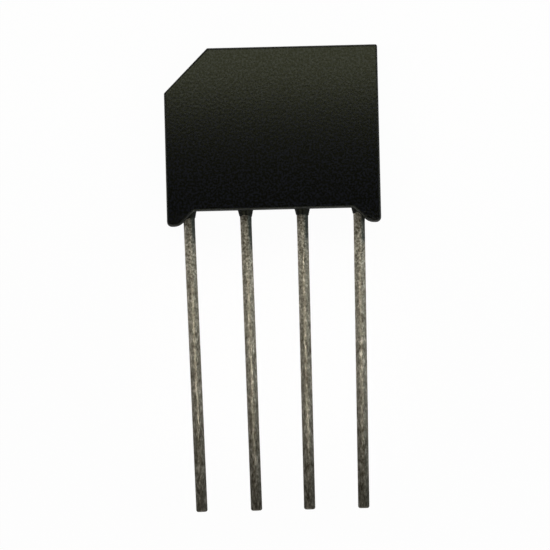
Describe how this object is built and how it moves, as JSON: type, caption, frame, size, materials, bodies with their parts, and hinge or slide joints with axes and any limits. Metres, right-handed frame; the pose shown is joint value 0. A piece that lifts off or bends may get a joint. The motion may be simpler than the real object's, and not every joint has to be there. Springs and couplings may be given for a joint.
{
  "type": "bridge rectifier",
  "caption": "Flat moulded block with one bevelled corner and two small feet, and a row of straight round wire leads out of one edge.",
  "frame": {"origin": "middle of the moulded body's back face, on which the part lies", "axes": "+Z out of the front face; +X from the positive lead, at the bevelled corner, to the negative lead; -Y along the leads to their tips"},
  "size_m": [0.0148, 0.0319, 0.0038],
  "materials": {
    "resin": "matte black epoxy moulding compound with a fine mottled grain",
    "tinned_wire": "dull tin plate on copper wire, blotchy with age",
    "silicon": "metallised silicon",
    "solder": "soft solder, satin"
  },
  "bodies": {
    "root": {"moulded_body": "resin", "lead_positive": "tinned_wire", "lead_ac_1": "tinned_wire", "lead_ac_2": "tinned_wire", "lead_negative": "tinned_wire", "diode_chip_1": "silicon", "diode_chip_2": "silicon", "diode_chip_3": "silicon", "diode_chip_4": "silicon", "solder_front_1": "solder", "solder_front_2": "solder", "solder_front_3": "solder", "solder_front_4": "solder", "solder_back_1": "solder", "solder_back_2": "solder", "solder_back_3": "solder", "solder_back_4": "solder"}
  },
  "joints": []
}
